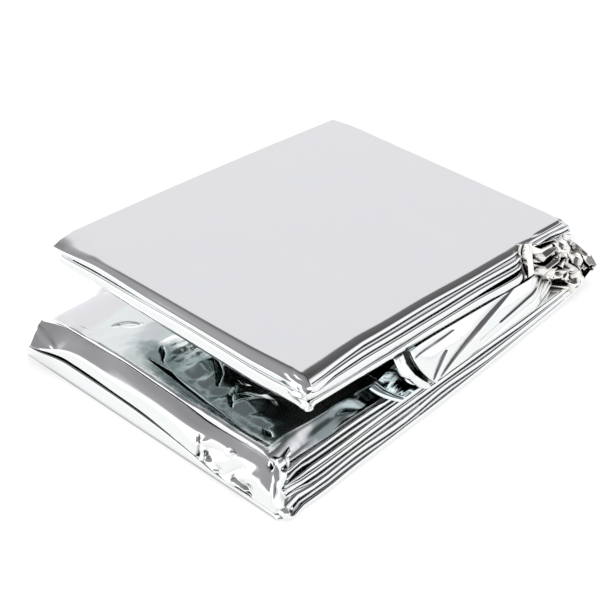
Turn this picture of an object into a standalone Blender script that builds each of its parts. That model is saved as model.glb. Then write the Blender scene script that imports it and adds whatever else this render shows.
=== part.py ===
"""Emergency foil blanket, folded into a flat packet that stands open like a book.

One metallised film sheet, and nothing is sewn or fitted to it.  The film is folded
lengthwise into a strip about 100 mm wide, and the strip is folded back and forth into
ten leaves.  Each leaf stands for the bundle of film plies that is folded there.
Leaves 1 to 6 lie flat as the lower half.  Leaves 7 to 10 are the upper half, hinged on
the lower one at the spine, so that the packet gapes at its fore edge.  On the near side
a web of pulled film bridges the gape from the spine to about the middle.

Lengths in this file are millimetres until the mesh is made.
X runs from the fore edge (-) to the spine (+), Y from the near side (-) to the far
side (+), Z up from the flat underside.
"""

import math

import bmesh
import bpy
from mathutils import Vector

MM = 0.001

# ---------------------------------------------------------------- driving dimensions
NODE = "foil_blanket"
GAP_SHARE = 0.20          # part of a leaf's pitch that is air
BAY_COLUMNS = 11          # mesh steps along a leaf
ROWS = 11                 # mesh steps from the near side to the far side
FOLD_STEPS = 5            # mesh steps round a fold
CORNER_ROUND = 7.0        # how far from a side edge a fold starts to draw in
CORNER_DRAW = 1.6         # how much a fold's nose draws in at the side edge

# The two halves.  Each surface is given by its height at the fore edge (near corner,
# middle, far corner) and at the spine (near corner, far corner).
HALVES = {
    "lower": dict(
        leaves=6, fore_x=-61.0, spine_x=66.0, near_y=-45.0, far_y=48.0,
        under=(0.0, 0.0, 0.0, 0.0, 0.0),
        over=(12.8, 13.6, 10.6, 12.5, 12.3),
    ),
    "upper": dict(
        leaves=4, fore_x=-51.0, spine_x=66.0, near_y=-44.0, far_y=46.0,
        under=(25.2, 25.2, 27.2, 14.3, 14.1),
        over=(34.7, 34.3, 34.5, 22.9, 22.3),
    ),
}

# One row for each leaf, from the floor up.
#   fore_x    outermost point of the fold, or of the free end, at the fore edge
#   spine_x   the same at the spine
#   near_fore, near_mid, near_spine    Y of the near edge along the leaf
#   far_y     Y of the far edge
#   lift      how much the near front corner of the leaf is raised out of the even stack
LEAF_COLUMNS = ("half", "fore_x", "spine_x", "near_fore", "near_mid", "near_spine", "far_y", "lift")
LEAVES = (
    ("lower", -67.0, 65.5, -51.5, -53.0, -51.0, 50.0, 0.00),
    ("lower", -67.0, 68.4, -49.5, -51.0, -51.5, 49.6, -0.25),
    ("lower", -65.6, 68.4, -47.5, -50.0, -51.5, 49.2, 0.15),
    ("lower", -65.6, 69.0, -46.0, -49.4, -51.0, 49.4, -0.20),
    ("lower", -63.4, 69.0, -44.6, -49.0, -51.0, 48.8, 0.15),
    ("lower", -63.4, 70.0, -43.4, -48.6, -52.0, 48.6, 0.00),
    ("upper", -53.2, 70.0, -45.0, -47.2, -49.5, 46.4, 0.00),
    ("upper", -53.2, 68.6, -44.6, -46.4, -46.6, 46.6, -0.15),
    ("upper", -53.6, 68.6, -43.8, -44.8, -45.4, 46.9, 0.20),
    ("upper", -53.6, 65.6, -43.2, -42.6, -44.6, 47.1, 0.00),
)
FREE_ENDS = (0, 9)        # the strip's two ends, both at the spine
LIFT_REACH = 34.0         # the lift dies out this far from the near front corner

# The web of film on the near side, hung between leaf 6 and leaf 7.
WEB_LEAVES = (5, 6)
WEB_FROM_X = -12.0
WEB_TO_X = 63.0
WEB_THICK = 1.3
WEB_SEAT = 1.4            # how far its edges are let into the two leaves
WEB_BULGE = 0.9
WEB_COLUMNS = 10
WEB_ROWS = 6

FILM_COLOUR = (0.86, 0.87, 0.88, 1.0)
FILM_ROUGHNESS = 0.06


def leaf(index):
    """One row of the table, by column name."""
    return dict(zip(LEAF_COLUMNS, LEAVES[index]))


def mix(start, end, share):
    return start + (end - start) * share


def arch(first, middle, last, share):
    """The parabola through three evenly spaced values."""
    return (first * (1 - share) * (1 - 2 * share)
            + middle * 4 * share * (1 - share)
            + last * share * (2 * share - 1))


def fade(distance, reach):
    """1 at no distance, 0 from reach on, smooth between."""
    share = min(max(distance / reach, 0.0), 1.0)
    return 1 - share * share * (3 - 2 * share)


def surface(half, side, x, y):
    """Height of a half's underside ("under") or upper side ("over")."""
    fore_near, fore_mid, fore_far, spine_near, spine_far = half[side]
    along = (x - half["fore_x"]) / (half["spine_x"] - half["fore_x"])
    across = min(max((y - half["near_y"]) / (half["far_y"] - half["near_y"]), 0.0), 1.0)
    fore = arch(fore_near, fore_mid, fore_far, across)
    return mix(fore, mix(spine_near, spine_far, across), along)


def leaf_heights(index, x, y):
    """Underside and upper side of one leaf."""
    row = leaf(index)
    half = HALVES[row["half"]]
    count = half["leaves"]
    place = index if row["half"] == "lower" else index - HALVES["lower"]["leaves"]
    air = GAP_SHARE / 2
    low_share = (place + (air if place > 0 else 0.0)) / count
    high_share = (place + 1 - (air if place < count - 1 else 0.0)) / count
    under = surface(half, "under", x, y)
    over = surface(half, "over", x, y)
    away = math.hypot(x - row["fore_x"], y - row["near_fore"])
    lift = row["lift"] * fade(away, LIFT_REACH)
    return mix(under, over, low_share) + lift, mix(under, over, high_share) + lift


def near_edge(index, x):
    row = leaf(index)
    along = min(max((x - row["fore_x"]) / (row["spine_x"] - row["fore_x"]), 0.0), 1.0)
    return arch(row["near_fore"], row["near_mid"], row["near_spine"], along)


def width_at(index, x, across):
    """Y of a point that lies this share of the way from the near to the far edge."""
    return mix(near_edge(index, x), leaf(index)["far_y"], across)


def fold_nose(lower_index, end, across):
    """Where a fold's bend starts, and how far its nose stands out from there."""
    row = leaf(lower_index)
    sign = -1.0 if end == "fore_x" else 1.0
    nose_x = row[end]
    y = width_at(lower_index, nose_x, across)
    low, _ = leaf_heights(lower_index, nose_x, y)
    _, high = leaf_heights(lower_index + 1, nose_x, y)
    reach = (high - low) / 2
    edge_distance = min(y - near_edge(lower_index, nose_x), row["far_y"] - y)
    nose_x -= sign * CORNER_DRAW * fade(edge_distance, CORNER_ROUND)
    return nose_x - sign * reach, sign * reach


def fold_end(index):
    """The end of the strip's leaf at which it turns into the next leaf."""
    return "fore_x" if index % 2 == 0 else "spine_x"


def bend_x(index, end, across):
    """X at which a leaf stops being flat and its fold or free end begins."""
    if index in FREE_ENDS and end == "spine_x":
        return leaf(index)["spine_x"]
    lower_index = index if fold_end(index) == end else index - 1
    return fold_nose(lower_index, end, across)[0]


def strip_section(across):
    """The strip's two faces, as matching lists of points, at one share of the width."""
    outside, inside = [], []
    for index in range(len(LEAVES)):
        first, last = ("spine_x", "fore_x") if index % 2 == 0 else ("fore_x", "spine_x")
        for step in range(BAY_COLUMNS + 1):
            x = mix(bend_x(index, first, across), bend_x(index, last, across),
                    step / BAY_COLUMNS)
            y = width_at(index, x, across)
            low, high = leaf_heights(index, x, y)
            below, above = (x, y, low), (x, y, high)
            outside.append(below if index % 2 == 0 else above)
            inside.append(above if index % 2 == 0 else below)
        if index == len(LEAVES) - 1:
            break
        fold_points(index, across, outside, inside)
    return outside, inside


def fold_points(index, across, outside, inside):
    """Round the fold from one leaf to the next one up."""
    end = fold_end(index)
    start_x, reach = fold_nose(index, end, across)
    low_y = width_at(index, start_x, across)
    high_y = width_at(index + 1, start_x, across)
    low_under, low_over = leaf_heights(index, start_x, low_y)
    high_under, high_over = leaf_heights(index + 1, start_x, high_y)
    sign = 1.0 if reach > 0 else -1.0
    for step in range(1, FOLD_STEPS):
        turn = math.pi * step / FOLD_STEPS
        share = (1 - math.cos(turn)) / 2
        y = mix(low_y, high_y, share)
        outer = (start_x + reach * math.sin(turn), y, mix(low_under, high_over, share))
        bore = (high_under - low_over) / 2
        inner = (start_x + sign * bore * math.sin(turn), y, mix(low_over, high_under, share))
        on_outside = end == "fore_x"
        outside.append(outer if on_outside else inner)
        inside.append(inner if on_outside else outer)


def sheet_mesh(name, front_rows, back_rows):
    """Close two matching point grids into one solid sheet."""
    mesh = bpy.data.meshes.new(name)
    shape = bmesh.new()
    front = [[shape.verts.new(Vector(point) * MM) for point in row] for row in front_rows]
    back = [[shape.verts.new(Vector(point) * MM) for point in row] for row in back_rows]
    rows, columns = len(front), len(front[0])
    for i in range(rows - 1):
        for j in range(columns - 1):
            shape.faces.new((front[i][j], front[i][j + 1], front[i + 1][j + 1], front[i + 1][j]))
            shape.faces.new((back[i][j], back[i + 1][j], back[i + 1][j + 1], back[i][j + 1]))
    for j in range(columns - 1):
        for i in (0, rows - 1):
            shape.faces.new((front[i][j], front[i][j + 1], back[i][j + 1], back[i][j]))
    for i in range(rows - 1):
        for j in (0, columns - 1):
            shape.faces.new((front[i][j], front[i + 1][j], back[i + 1][j], back[i][j]))
    bmesh.ops.triangulate(shape, faces=shape.faces[:], quad_method="FIXED")
    bmesh.ops.recalc_face_normals(shape, faces=shape.faces[:])
    shape.to_mesh(mesh)
    shape.free()
    return mesh


def web_section(x):
    """The web's two faces at one X, from leaf 6 up to leaf 7."""
    low_leaf, high_leaf = WEB_LEAVES
    ends = []
    for index in WEB_LEAVES:
        y = near_edge(index, x) + WEB_SEAT
        ends.append((y, sum(leaf_heights(index, x, y)) / 2))
    (low_y, low_z), (high_y, high_z) = ends
    lean = Vector((0.0, low_z - high_z, high_y - low_y)).normalized() * WEB_THICK / 2
    outer, inner = [], []
    for step in range(WEB_ROWS + 1):
        share = step / WEB_ROWS
        bulge = WEB_BULGE * math.sin(math.pi * share)
        middle = Vector((x, mix(low_y, high_y, share) - bulge, mix(low_z, high_z, share)))
        outer.append(middle + lean)
        inner.append(middle - lean)
    return outer, inner


def film_material():
    material = bpy.data.materials.new("metallised_film")
    material.use_nodes = True
    shader = material.node_tree.nodes["Principled BSDF"]
    shader.inputs["Base Color"].default_value = FILM_COLOUR
    shader.inputs["Metallic"].default_value = 1.0
    shader.inputs["Roughness"].default_value = FILM_ROUGHNESS
    return material


def add_object(name, mesh):
    thing = bpy.data.objects.new(name, mesh)
    bpy.context.scene.collection.objects.link(thing)
    return thing


def centre_on_footprint(meshes):
    """Put the origin under the middle of the whole packet, on its underside."""
    points = [vertex.co for vertex in meshes[0].vertices]
    middle_x = (min(p.x for p in points) + max(p.x for p in points)) / 2
    middle_y = (min(p.y for p in points) + max(p.y for p in points)) / 2
    for mesh in meshes:
        for vertex in mesh.vertices:
            vertex.co.x -= middle_x
            vertex.co.y -= middle_y


def build_blanket():
    sections = [strip_section(row / ROWS) for row in range(ROWS + 1)]
    strip = sheet_mesh(NODE, [s[0] for s in sections], [s[1] for s in sections])
    stations = [mix(WEB_FROM_X, WEB_TO_X, step / WEB_COLUMNS) for step in range(WEB_COLUMNS + 1)]
    webs = [web_section(x) for x in stations]
    web = sheet_mesh("web_guide", [w[0] for w in webs], [w[1] for w in webs])
    centre_on_footprint([strip, web])

    blanket = add_object(NODE, strip)
    blanket.data.materials.append(film_material())
    guide = add_object("web_guide", web)
    guide.hide_render = True
    guide.display_type = "WIRE"
    join = blanket.modifiers.new("web", "BOOLEAN")
    join.operation = "UNION"
    join.solver = "EXACT"
    join.object = guide


def main():
    for thing in list(bpy.data.objects):
        bpy.data.objects.remove(thing, do_unlink=True)
    build_blanket()


main()
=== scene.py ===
"""Looks of the folded emergency foil blanket: a packet of mirror-bright film leaves.

The film lies on the folds of the CAD solid and is made finer here: rounded page edges,
pinched fold tips, the outer ply wrapped over the lower half's fore edge, the web of
pulled film on the near side, and the crumpled corners.

Sizes are millimetres in the folder's own frame: X from the fore edge to the spine, Y
from the near side to the far side, Z up from the surface.  They become metres, centred
as the CAD solid is, when a mesh is made.
"""

import math

import bpy
import numpy as np
from mathutils import Matrix, Vector


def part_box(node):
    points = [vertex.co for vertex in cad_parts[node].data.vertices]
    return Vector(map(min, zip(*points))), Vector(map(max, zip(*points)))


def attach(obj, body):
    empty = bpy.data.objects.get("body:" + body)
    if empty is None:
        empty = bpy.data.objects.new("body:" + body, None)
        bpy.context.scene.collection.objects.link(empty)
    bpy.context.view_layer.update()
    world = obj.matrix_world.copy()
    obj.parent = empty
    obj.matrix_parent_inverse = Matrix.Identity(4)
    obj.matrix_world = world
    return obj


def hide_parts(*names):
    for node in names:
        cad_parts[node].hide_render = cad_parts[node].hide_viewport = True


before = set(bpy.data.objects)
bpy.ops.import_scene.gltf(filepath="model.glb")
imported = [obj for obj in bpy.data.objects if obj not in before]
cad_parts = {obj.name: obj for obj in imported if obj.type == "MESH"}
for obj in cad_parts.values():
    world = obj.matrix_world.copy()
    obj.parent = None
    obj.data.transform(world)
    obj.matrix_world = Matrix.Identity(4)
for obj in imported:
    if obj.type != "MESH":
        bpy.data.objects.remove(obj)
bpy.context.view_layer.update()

MM = 0.001
NODE = "foil_blanket"
SOLID_LOW_X = -67.0        # the solid's lowest X and Y in this file's own frame
SOLID_LOW_Y = -53.0
CAD_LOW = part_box(NODE)[0] / MM
SHIFT = np.array([CAD_LOW.x - SOLID_LOW_X, CAD_LOW.y - SOLID_LOW_Y, 0.0])


# ------------------------------------------------------------------ tables, curves, fields
def table(names, rows):
    """Named columns of a short table."""
    return dict(zip(names, np.array(rows, dtype=float).T))


def mix(start, end, share):
    return start + (end - start) * share


def arch(first, middle, last, share):
    """The parabola through three evenly spaced values."""
    return (first * (1 - share) * (1 - 2 * share)
            + middle * 4 * share * (1 - share)
            + last * share * (2 * share - 1))


def smooth(low, high, value):
    """0 at low, 1 at high, smooth between."""
    share = np.clip((value - low) / (high - low), 0.0, 1.0)
    return share * share * (3 - 2 * share)


def curve(columns, name, at):
    """A column as a smooth curve over the table's first column."""
    place = next(iter(columns.values()))
    value = columns[name]
    slope = np.gradient(value, place)
    at = np.clip(at, place[0], place[-1])
    left = np.clip(np.searchsorted(place, at) - 1, 0, len(place) - 2)
    width = place[left + 1] - place[left]
    share = (at - place[left]) / width
    ease = share * share * (3 - 2 * share)
    start_pull = share * (1 - share) ** 2 * width
    end_pull = share * share * (share - 1) * width
    return (mix(value[left], value[left + 1], ease)
            + slope[left] * start_pull + slope[left + 1] * end_pull)


LATTICE = 64


def lattice_corners(u, v, seed):
    """Place inside a lattice cell, and the cell's four random corner heights."""
    heights = np.random.default_rng(seed).uniform(-1, 1, (LATTICE, LATTICE))
    left, low = np.floor(u).astype(int), np.floor(v).astype(int)

    def corner(right, up):
        return heights[(left + right) % LATTICE, (low + up) % LATTICE]

    return u - left, v - low, corner(0, 0), corner(1, 0), corner(0, 1), corner(1, 1)


def wander(u, v, cell, seed):
    """Soft uneven swells, from -1 to 1, about a cell wide."""
    u, v = np.broadcast_arrays(u, v)
    right, up, a, b, c, d = lattice_corners(u / cell, v / cell, seed)
    right, up = smooth(0, 1, right), smooth(0, 1, up)
    return mix(mix(a, b, right), mix(c, d, right), up)


def crumple(u, v, cell, seed, stray=0.4):
    """Flat facets between sharp creases, as crushed film takes, from -1 to 1."""
    u, v = np.broadcast_arrays(u, v)
    moved_u = u + cell * stray * wander(u, v, cell * 1.7, seed + 1)
    moved_v = v + cell * stray * wander(u, v, cell * 1.7, seed + 2)
    right, up, a, b, c, d = lattice_corners((moved_u + moved_v / 2) / cell, moved_v / cell, seed)
    first = a + right * (b - a) + up * (c - a)
    second = d + (1 - right) * (c - d) + (1 - up) * (b - d)
    return np.where(right + up < 1, first, second)


def crumpled(u, v, size):
    """Crumples given by how tall and how wide they are, and a seed."""
    tall, wide, seed = size
    return tall * crumple(u, v, wide, seed)


CREASE_ENDS = 0.3         # how wide a crease still is at its ends, as a share of its middle


def creased(u, v, rows):
    """Ridges (rise above 0) and troughs (below 0), widest in the middle of their length."""
    u, v = np.broadcast_arrays(u, v)
    height = np.zeros(u.shape)
    for from_u, from_v, to_u, to_v, bow, width, rise in rows:
        run_u, run_v = to_u - from_u, to_v - from_v
        length = math.hypot(run_u, run_v)
        share = ((u - from_u) * run_u + (v - from_v) * run_v) / length ** 2
        aside = ((v - from_v) * run_u - (u - from_u) * run_v) / length
        held = np.clip(share, 0.0, 1.0)
        aside = aside - bow * 4 * held * (1 - held)
        past = np.maximum(np.abs(share - 0.5) - 0.5, 0) * length
        spread = width * (CREASE_ENDS + (1 - CREASE_ENDS) * np.sin(np.pi * held))
        height += rise * np.maximum(1 - np.hypot(aside, past) / spread, 0)
    return height


# ------------------------------------------------------------------ the stack of leaves
# Heights of each half's underside and upper side: at the fore edge near, middle and far,
# and at the spine near and far.
HALVES = {
    "lower": dict(
        fore_x=-61.0, spine_x=66.0, near_y=-45.0, far_y=48.0,
        under=(0.0, 0.0, 0.0, 0.0, 0.0),
        over=(12.0, 13.0, 10.0, 12.3, 12.2),
    ),
    "upper": dict(
        fore_x=-51.0, spine_x=66.0, near_y=-44.0, far_y=46.0,
        under=(25.0, 25.2, 27.4, 14.3, 14.1),
        over=(34.6, 34.4, 34.7, 22.9, 22.3),
    ),
}

# One row for each leaf, from the floor up.
#   fore_near, fore_mid, fore_far      outermost X of its fore fold across the width
#   spine_x                            outermost X of its spine fold or free end
#   near_fore, near_mid, near_spine    Y of the near edge along the leaf
#   far_y, far_bow                     Y of the far edge at its ends, and its bow outward
#   top_near, top_far, top_spine       share of the half's height below its upper side: at
#                                      the fore edge near and far, and at the spine
#   gap                                air between it and the next leaf
LEAF_COLUMNS = ("half", "fore_near", "fore_mid", "fore_far", "spine_x",
                "near_fore", "near_mid", "near_spine", "far_y", "far_bow",
                "top_near", "top_far", "top_spine", "gap")
LEAVES = (
    ("lower", -66.4, -66.2, -65.6, 65.5, -51.6, -52.8, -51.0, 50.0, 0.0, 0.17, 0.22, 0.17, 0.14),
    ("lower", -66.4, -66.2, -65.6, 68.4, -50.2, -51.4, -51.4, 49.6, 0.3, 0.36, 0.42, 0.34, 0.34),
    ("lower", -62.8, -64.4, -63.4, 68.4, -47.8, -50.3, -51.0, 49.2, 0.2, 0.52, 0.56, 0.50, 0.14),
    ("lower", -62.8, -64.4, -63.4, 69.0, -47.0, -49.5, -50.6, 49.4, 0.4, 0.68, 0.70, 0.67, 0.30),
    ("lower", -59.8, -61.6, -60.8, 69.0, -44.6, -48.9, -50.4, 48.8, 0.2, 0.84, 0.84, 0.83, 0.14),
    ("lower", -59.8, -61.6, -60.8, 70.0, -43.2, -47.4, -51.2, 48.6, 0.3, 1.00, 1.00, 1.00, 0.00),
    ("upper", -52.6, -53.4, -54.3, 70.0, -45.2, -47.4, -49.6, 46.4, 0.8, 0.20, 0.25, 0.46, 0.16),
    ("upper", -52.6, -53.4, -54.3, 68.6, -44.6, -46.6, -47.2, 46.6, 1.0, 0.55, 0.62, 0.64, 0.26),
    ("upper", -53.0, -53.8, -54.8, 68.6, -44.0, -45.2, -45.8, 47.5, 0.8, 0.76, 0.82, 0.84, 0.08),
    ("upper", -53.0, -53.8, -54.8, 65.6, -43.4, -43.4, -44.8, 47.8, 0.9, 1.00, 1.00, 1.00, 0.00),
)
LOWER_LEAVES = 6
LOWER_TOP = LOWER_LEAVES - 1
TOP_LEAF = len(LEAVES) - 1
FREE_ENDS = (0, TOP_LEAF)
NEAR_PART = 40.0          # how far in from the near side a leaf's level still changes
FOLD_GAP = (0.9, 12.0)    # extra air inside a fold, and how far along the leaf it fades
TIGHT_FOLDS = {8: 0.3}    # folds that are pressed flatter: the share of that air
# A leaf that gapes from the next one: where along X it opens, is widest and closes, and
# how wide it is.
GAPING = dict(leaf=6, along=(14.0, 34.0, 44.0, 56.0), wide=0.9)
GAP_WANDER = dict(stray=0.5, length=23.0, seed=70)
EDGE_ROUND = 0.7          # radius of a leaf's rounded side edge
EDGE_THINNEST = 0.14      # the least share of its thickness that the edge keeps


def leaf(index):
    """One row of the table, by column name."""
    return dict(zip(LEAF_COLUMNS, LEAVES[index]))


# The outer ply over the lower half's fore edge, across the width: its rim and the strip
# that lies back on the leaves, the knee of its face, the seam where it ends, the groove
# below the seam, and the lip of the band under that.  At the far end the ply stands out
# from the stack as an ear.
WRAP = table(
    ("y", "rim_x", "rim_z", "strip", "knee_x", "knee_z", "bow_top", "bow_low",
     "seam_x", "seam_z", "lip_x", "groove", "deep"), (
        (-50.0, -59.0, 11.2, 1.4, -66.2, 4.4, 0.0, 0.0, -66.6, 1.4, -66.6, 0.05, 0.2),
        (-46.0, -59.8, 11.7, 1.4, -65.9, 5.8, 0.0, 0.1, -66.7, 1.7, -66.7, 0.05, 0.2),
        (-42.0, -60.2, 12.1, 1.6, -65.6, 7.0, 0.0, 0.2, -66.8, 1.9, -66.8, 0.05, 0.2),
        (-36.0, -60.6, 12.2, 1.8, -64.9, 8.4, 0.0, 0.3, -67.0, 2.1, -67.0, 0.05, 0.2),
        (-28.0, -61.0, 11.7, 2.0, -63.8, 9.8, 0.1, 0.6, -67.0, 2.4, -67.1, 0.05, 0.3),
        (-20.0, -61.2, 11.5, 2.0, -64.2, 9.8, 0.3, 0.7, -66.9, 3.9, -67.0, 0.15, 0.8),
        (-10.0, -61.3, 12.7, 2.0, -65.0, 10.4, 0.5, 0.6, -66.6, 5.4, -66.8, 0.45, 1.8),
        (0.0, -61.3, 13.2, 2.0, -65.2, 10.8, 0.6, 0.5, -66.3, 6.4, -66.6, 0.80, 3.0),
        (13.0, -61.3, 13.8, 2.0, -65.7, 10.7, 0.4, 0.5, -66.2, 7.0, -66.5, 0.95, 3.4),
        (22.0, -60.9, 13.4, 2.0, -65.5, 11.2, 0.3, 0.4, -66.3, 7.6, -66.7, 1.15, 3.8),
        (28.0, -60.7, 13.3, 1.8, -65.7, 11.3, 0.3, 0.3, -66.6, 8.1, -67.0, 1.20, 3.6),
        (33.0, -60.3, 13.2, 1.6, -66.5, 10.8, 0.2, 0.1, -67.1, 8.6, -67.4, 1.35, 3.8),
        (37.0, -60.9, 13.1, 1.4, -67.9, 9.8, 0.1, 0.0, -68.2, 8.8, -68.2, 1.40, 4.2),
        (41.0, -62.0, 13.0, 1.2, -69.6, 9.4, 0.0, 0.0, -69.9, 9.1, -69.4, 1.35, 4.4),
        (44.5, -63.5, 13.0, 1.0, -70.6, 9.6, 0.0, 0.0, -70.8, 9.4, -70.0, 1.20, 4.4),
    ))
# Where the lower half's top leaf lies under the wrap's rim, and the X between which it
# comes back to its own level.
LEAF_REST = table(("y", "z"), (
    (-50.0, 10.2), (-36.0, 10.2), (-28.0, 9.4), (-20.0, 9.2), (-10.0, 10.1), (0.0, 10.7),
    (13.0, 11.3), (28.0, 11.3), (39.0, 10.9), (46.0, 9.1), (50.5, 7.6)))
RIM_REACH = (-58.0, -30.0)
RIM_STAND = 1.3           # how far the wrap's inner edge drops below its rim


def surface(half, side, x, y):
    fore_near, fore_mid, fore_far, spine_near, spine_far = half[side]
    along = (x - half["fore_x"]) / (half["spine_x"] - half["fore_x"])
    across = np.clip((y - half["near_y"]) / (half["far_y"] - half["near_y"]), 0.0, 1.0)
    fore = arch(fore_near, fore_mid, fore_far, across)
    height = mix(fore, mix(spine_near, spine_far, across), along)
    if half is HALVES["lower"] and side == "over":
        under_rim = curve(LEAF_REST, "z", y)
        height = mix(under_rim, height, smooth(*RIM_REACH, x))
    return height


def top_share(index, x, y):
    """The share of the half's height that lies below a leaf's upper side."""
    row = leaf(index)
    half = HALVES[row["half"]]
    along = smooth(half["fore_x"], half["spine_x"], x)
    across = smooth(half["near_y"], half["near_y"] + NEAR_PART, y)
    return mix(mix(row["top_near"], row["top_far"], across), row["top_spine"], along)


def leaf_heights(index, x, y):
    """Underside and upper side of one leaf."""
    row = leaf(index)
    half = HALVES[row["half"]]
    bottom = index in (0, LOWER_LEAVES)
    low_share = 0.0 if bottom else top_share(index - 1, x, y)
    high_share = top_share(index, x, y)
    under = surface(half, "under", x, y)
    over = surface(half, "over", x, y)
    low_gap = 0.0 if bottom else air(index - 1, x)
    return (mix(under, over, low_share) + low_gap / 2,
            mix(under, over, high_share) - air(index, x) / 2)


def swells(index, x, size):
    """Uneven swells along one leaf."""
    return size["stray"] * wander(x, 0.0, size["length"], size["seed"] + index)


def air(index, x):
    """The gap between a leaf and the next one up."""
    row = leaf(index)
    if row["gap"] == 0.0:
        return 0.0
    room, reach = FOLD_GAP
    from_fold = x - row["fore_mid"] if index % 2 == 0 else row["spine_x"] - x
    uneven = 1 + swells(index, x, GAP_WANDER)
    room *= TIGHT_FOLDS.get(index, 1.0)
    opens, full, closes, closed = GAPING["along"]
    gape = GAPING["wide"] * (index == GAPING["leaf"])
    gape = gape * smooth(opens, full, x) * (1 - smooth(closes, closed, x))
    return row["gap"] * uneven + gape + room * (1 - smooth(0.0, reach, from_fold)) ** 2


# A leaf's near edge: how far it strays and over what length, and the share of the leaf's
# length at its fore end over which that grows.
EDGE_WANDER = dict(stray=0.42, length=19.0, seed=40)
EDGE_CALM = 0.08
# How far each leaf's near edge flares out at the fore end, and is drawn in at the spine
# under the gathered corner; the flare's length, and the X between which the draw grows.
FLARE = {6: 0.7, 7: 1.3, 8: 2.0, 9: 2.6}
DRAWN = {3: 2.6, 4: 3.6, 5: 4.6, 6: 4.8, 7: 3.2, 8: 1.9, 9: 1.1}
FLARE_LENGTH = 27.0
DRAWN_PLACE = {"lower": (46.0, 57.0), "upper": (37.0, 46.0)}


def along_leaf(row, x):
    """The share of a leaf's length, from its fore fold to its spine end."""
    return np.clip((x - row["fore_mid"]) / (row["spine_x"] - row["fore_mid"]), 0.0, 1.0)


def near_edge(index, x):
    row = leaf(index)
    along = along_leaf(row, x)
    uneven = swells(index, x, EDGE_WANDER) * smooth(0.0, EDGE_CALM, along)
    flare = FLARE.get(index, 0.0) * np.clip(1 - (x - row["fore_mid"]) / FLARE_LENGTH, 0.0, 1.0)
    drawn = DRAWN.get(index, 0.0) * smooth(*DRAWN_PLACE[row["half"]], x)
    middle = arch(row["near_fore"], row["near_mid"], row["near_spine"], along)
    return middle + uneven - flare + drawn


# The film's rows of points across a leaf: distances from either side edge, distances over
# the shoulder, and how many are spread evenly over the rest.
EDGE_ROWS = (0.0, 0.05, 0.14, 0.28, 0.5, 0.8)
SHOULDER_ROWS = (1.1, 1.4, 1.8, 2.2, 2.6, 3.0, 3.5, 4.2, 5.2)
MIDDLE_ROWS = 66
NEAR_ROWS = np.array(EDGE_ROWS + SHOULDER_ROWS)
MIDDLE_SHARES = np.arange(1, MIDDLE_ROWS + 1) / (MIDDLE_ROWS + 1)
FAR_ROWS = np.array(EDGE_ROWS[::-1])


def far_edge(index, x):
    row = leaf(index)
    along = along_leaf(row, x)
    return row["far_y"] + row["far_bow"] * 4 * along * (1 - along)


def across_rows(index, x):
    """Y of every row at the given X values: an array of rows by columns."""
    near, far = near_edge(index, x), far_edge(index, x)
    start = near + NEAR_ROWS[-1]
    middle = start + (far - FAR_ROWS[0] - start) * MIDDLE_SHARES[:, None]
    return np.concatenate([near + NEAR_ROWS[:, None], middle, far - FAR_ROWS[:, None]])


def own_rows(index, x):
    """Y of every row at that row's own X values."""
    return np.array([across_rows(index, at)[row] for row, at in enumerate(x)])


def rows_at(index, x):
    """Y of every row at one X."""
    return across_rows(index, np.array([float(x)]))[:, 0]


def edge_thinning():
    """How thick each row is, so that a leaf's side edges are round."""
    distance = np.concatenate([NEAR_ROWS, np.full(MIDDLE_ROWS, EDGE_ROUND), FAR_ROWS])
    depth = np.minimum(distance / EDGE_ROUND, 1.0)
    return np.maximum(np.sqrt(1 - (1 - depth) ** 2), EDGE_THINNEST)[:, None, None]


FOLD_STEPS = 20
# Columns of points along a leaf: more on those whose faces show, where they stand closer
# toward the spine, and one beside each bend.
STATIONS = {5: 34, 6: 60, 9: 60, 8: 30, 7: 30}
PLAIN_STATIONS = 26
STATION_EASE = 0.75
END_STATION = 0.0025
SPINE_CORNER = (8.0, 1.2)       # how near a side edge a spine fold draws in, and how much
FORE_CORNERS = (0.22, 0.80)     # shares of the width where a fore fold's corners end and start
FORE_FULLNESS = 1.15            # how far a fore fold stands out, in halves of its height


def fold_end(index):
    return "fore" if index % 2 == 0 else "spine"


def nose_x(index, end, y):
    """Outermost X of the fold or free end of a leaf, across the width."""
    row = leaf(index)
    if end == "spine":
        reach, draw = SPINE_CORNER
        from_side = np.minimum(y - row["near_spine"], row["far_y"] - y)
        return row["spine_x"] - draw * (1 - smooth(0.0, reach, from_side))
    across = np.clip((y - row["near_fore"]) / (row["far_y"] - row["near_fore"]), 0.0, 1.0)
    near_end, far_start = FORE_CORNERS
    near_corner = (1 - smooth(0.0, near_end, across)) * (row["fore_near"] - row["fore_mid"])
    far_corner = smooth(far_start, 1.0, across) * (row["fore_far"] - row["fore_mid"])
    return row["fore_mid"] + near_corner + far_corner


def fold_bend(lower_index, end):
    """Where the bend starts and how far the nose stands out, for every row."""
    row = leaf(lower_index)
    x = row["fore_mid"] if end == "fore" else row["spine_x"]
    y = rows_at(lower_index, x)
    low, _ = leaf_heights(lower_index, x, y)
    _, high = leaf_heights(lower_index + 1, x, y)
    reach = (high - low) / 2 * (FORE_FULLNESS if end == "fore" else 1.0)
    sign = -1.0 if end == "fore" else 1.0
    return nose_x(lower_index, end, y) - sign * reach, sign * reach


def bend_x(index, end):
    if index in FREE_ENDS and end == "spine":
        return nose_x(index, end, rows_at(index, leaf(index)["spine_x"]))
    lower_index = index if fold_end(index) == end else index - 1
    return fold_bend(lower_index, end)[0]


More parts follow.
